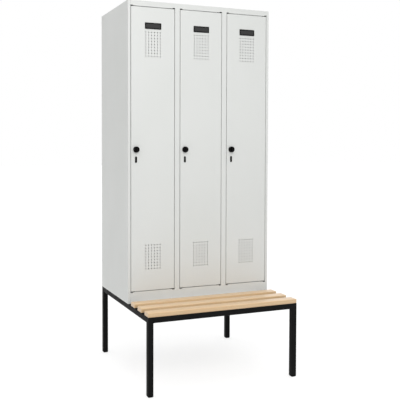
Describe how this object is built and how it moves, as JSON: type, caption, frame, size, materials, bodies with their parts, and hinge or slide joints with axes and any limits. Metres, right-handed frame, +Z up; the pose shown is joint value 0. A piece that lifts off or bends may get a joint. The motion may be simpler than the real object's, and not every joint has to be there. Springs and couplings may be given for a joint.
{
  "type": "locker with bench",
  "caption": "Steel changing-room locker with tall vented doors, turn knobs, hat shelves and coat rails, on a square-tube frame that carries a slatted wooden bench seat in front.",
  "frame": {"origin": "centre of the unit's footprint, on the floor", "axes": "+X to the right as seen from the front, +Y from the doors to the back, +Z up"},
  "size_m": [0.9, 0.815, 2.12],
  "materials": {
    "grey_paint": "satin powder coat",
    "frame_black": "matt powder coat",
    "black_plastic": "fine moulded grain",
    "beech": "clear matt lacquer",
    "zinc_steel": "zinc plated",
    "chrome_tube": "polished",
    "buffer_rubber": "matt"
  },
  "bodies": {
    "locker": {"back_panel": "grey_paint", "body_bolts": "zinc_steel", "bottom_rail": "grey_paint", "door_buffers": "buffer_rubber", "floor_pan": "grey_paint", "foot_caps": "black_plastic", "front_cross_rail": "frame_black", "front_slat": "beech", "hinge_pivots": "frame_black", "left_coat_rail": "chrome_tube", "left_end_frame": "frame_black", "left_hat_shelf": "grey_paint", "left_partition": "grey_paint", "left_post": "grey_paint", "left_side_wall": "grey_paint", "middle_coat_rail": "chrome_tube", "middle_cross_rail": "frame_black", "middle_hat_shelf": "grey_paint", "middle_slat": "beech", "rear_cross_rail": "frame_black", "rear_slat": "beech", "right_coat_rail": "chrome_tube", "right_end_frame": "frame_black", "right_hat_shelf": "grey_paint", "right_partition": "grey_paint", "right_post": "grey_paint", "right_side_wall": "grey_paint", "slat_screws": "zinc_steel", "top_panel": "grey_paint", "top_rail": "grey_paint"},
    "left_door_leaf": {"left_door": "grey_paint", "left_door_stiffener": "grey_paint", "left_label_holder": "black_plastic", "left_key_escutcheon": "black_plastic", "left_hinge_bushes": "black_plastic"},
    "left_knob": {"left_turn_knob": "black_plastic", "left_latch_tongue": "zinc_steel"},
    "left_lock": {"left_lock_plug": "frame_black"},
    "left_rail_left_hook_slider": {"left_rail_left_hook": "black_plastic"},
    "left_rail_right_hook_slider": {"left_rail_right_hook": "black_plastic"},
    "middle_door_leaf": {"middle_door": "grey_paint", "middle_door_stiffener": "grey_paint", "middle_label_holder": "black_plastic", "middle_key_escutcheon": "black_plastic", "middle_hinge_bushes": "black_plastic"},
    "middle_knob": {"middle_turn_knob": "black_plastic", "middle_latch_tongue": "zinc_steel"},
    "middle_lock": {"middle_lock_plug": "frame_black"},
    "middle_rail_left_hook_slider": {"middle_rail_left_hook": "black_plastic"},
    "middle_rail_right_hook_slider": {"middle_rail_right_hook": "black_plastic"},
    "right_door_leaf": {"right_door": "grey_paint", "right_door_stiffener": "grey_paint", "right_label_holder": "black_plastic", "right_key_escutcheon": "black_plastic", "right_hinge_bushes": "black_plastic"},
    "right_knob": {"right_turn_knob": "black_plastic", "right_latch_tongue": "zinc_steel"},
    "right_lock": {"right_lock_plug": "frame_black"},
    "right_rail_left_hook_slider": {"right_rail_left_hook": "black_plastic"},
    "right_rail_right_hook_slider": {"right_rail_right_hook": "black_plastic"}
  },
  "joints": [
    {"name": "left_door_swing", "type": "hinge", "parent": "locker", "child": "left_door_leaf", "pos_m": [-0.1785, -0.0845, 0.488], "axis": [0, 0, 1], "range_deg": [0, 110]},
    {"name": "left_knob_turn", "type": "hinge", "parent": "left_door_leaf", "child": "left_knob", "pos_m": [-0.4025, -0.0925, 1.289], "axis": [0, 1, 0], "range_deg": [0, 90]},
    {"name": "left_lock_turn", "type": "hinge", "parent": "left_door_leaf", "child": "left_lock", "pos_m": [-0.4025, -0.0925, 1.232], "axis": [0, 1, 0], "range_deg": [0, 90]},
    {"name": "left_rail_left_hook_slide", "type": "slide", "parent": "locker", "child": "left_rail_left_hook_slider", "axis": [1, 0, 0], "range_m": [-0.064, 0.064]},
    {"name": "left_rail_right_hook_slide", "type": "slide", "parent": "locker", "child": "left_rail_right_hook_slider", "axis": [1, 0, 0], "range_m": [-0.064, 0.064]},
    {"name": "middle_door_swing", "type": "hinge", "parent": "locker", "child": "middle_door_leaf", "pos_m": [0.1215, -0.0845, 0.488], "axis": [0, 0, 1], "range_deg": [0, 110]},
    {"name": "middle_knob_turn", "type": "hinge", "parent": "middle_door_leaf", "child": "middle_knob", "pos_m": [-0.1025, -0.0925, 1.289], "axis": [0, 1, 0], "range_deg": [0, 90]},
    {"name": "middle_lock_turn", "type": "hinge", "parent": "middle_door_leaf", "child": "middle_lock", "pos_m": [-0.1025, -0.0925, 1.232], "axis": [0, 1, 0], "range_deg": [0, 90]},
    {"name": "middle_rail_left_hook_slide", "type": "slide", "parent": "locker", "child": "middle_rail_left_hook_slider", "axis": [1, 0, 0], "range_m": [-0.064, 0.064]},
    {"name": "middle_rail_right_hook_slide", "type": "slide", "parent": "locker", "child": "middle_rail_right_hook_slider", "axis": [1, 0, 0], "range_m": [-0.064, 0.064]},
    {"name": "right_door_swing", "type": "hinge", "parent": "locker", "child": "right_door_leaf", "pos_m": [0.4215, -0.0845, 0.488], "axis": [0, 0, 1], "range_deg": [0, 110]},
    {"name": "right_knob_turn", "type": "hinge", "parent": "right_door_leaf", "child": "right_knob", "pos_m": [0.1975, -0.0925, 1.289], "axis": [0, 1, 0], "range_deg": [0, 90]},
    {"name": "right_lock_turn", "type": "hinge", "parent": "right_door_leaf", "child": "right_lock", "pos_m": [0.1975, -0.0925, 1.232], "axis": [0, 1, 0], "range_deg": [0, 90]},
    {"name": "right_rail_left_hook_slide", "type": "slide", "parent": "locker", "child": "right_rail_left_hook_slider", "axis": [1, 0, 0], "range_m": [-0.064, 0.064]},
    {"name": "right_rail_right_hook_slide", "type": "slide", "parent": "locker", "child": "right_rail_right_hook_slider", "axis": [1, 0, 0], "range_m": [-0.064, 0.064]}
  ]
}
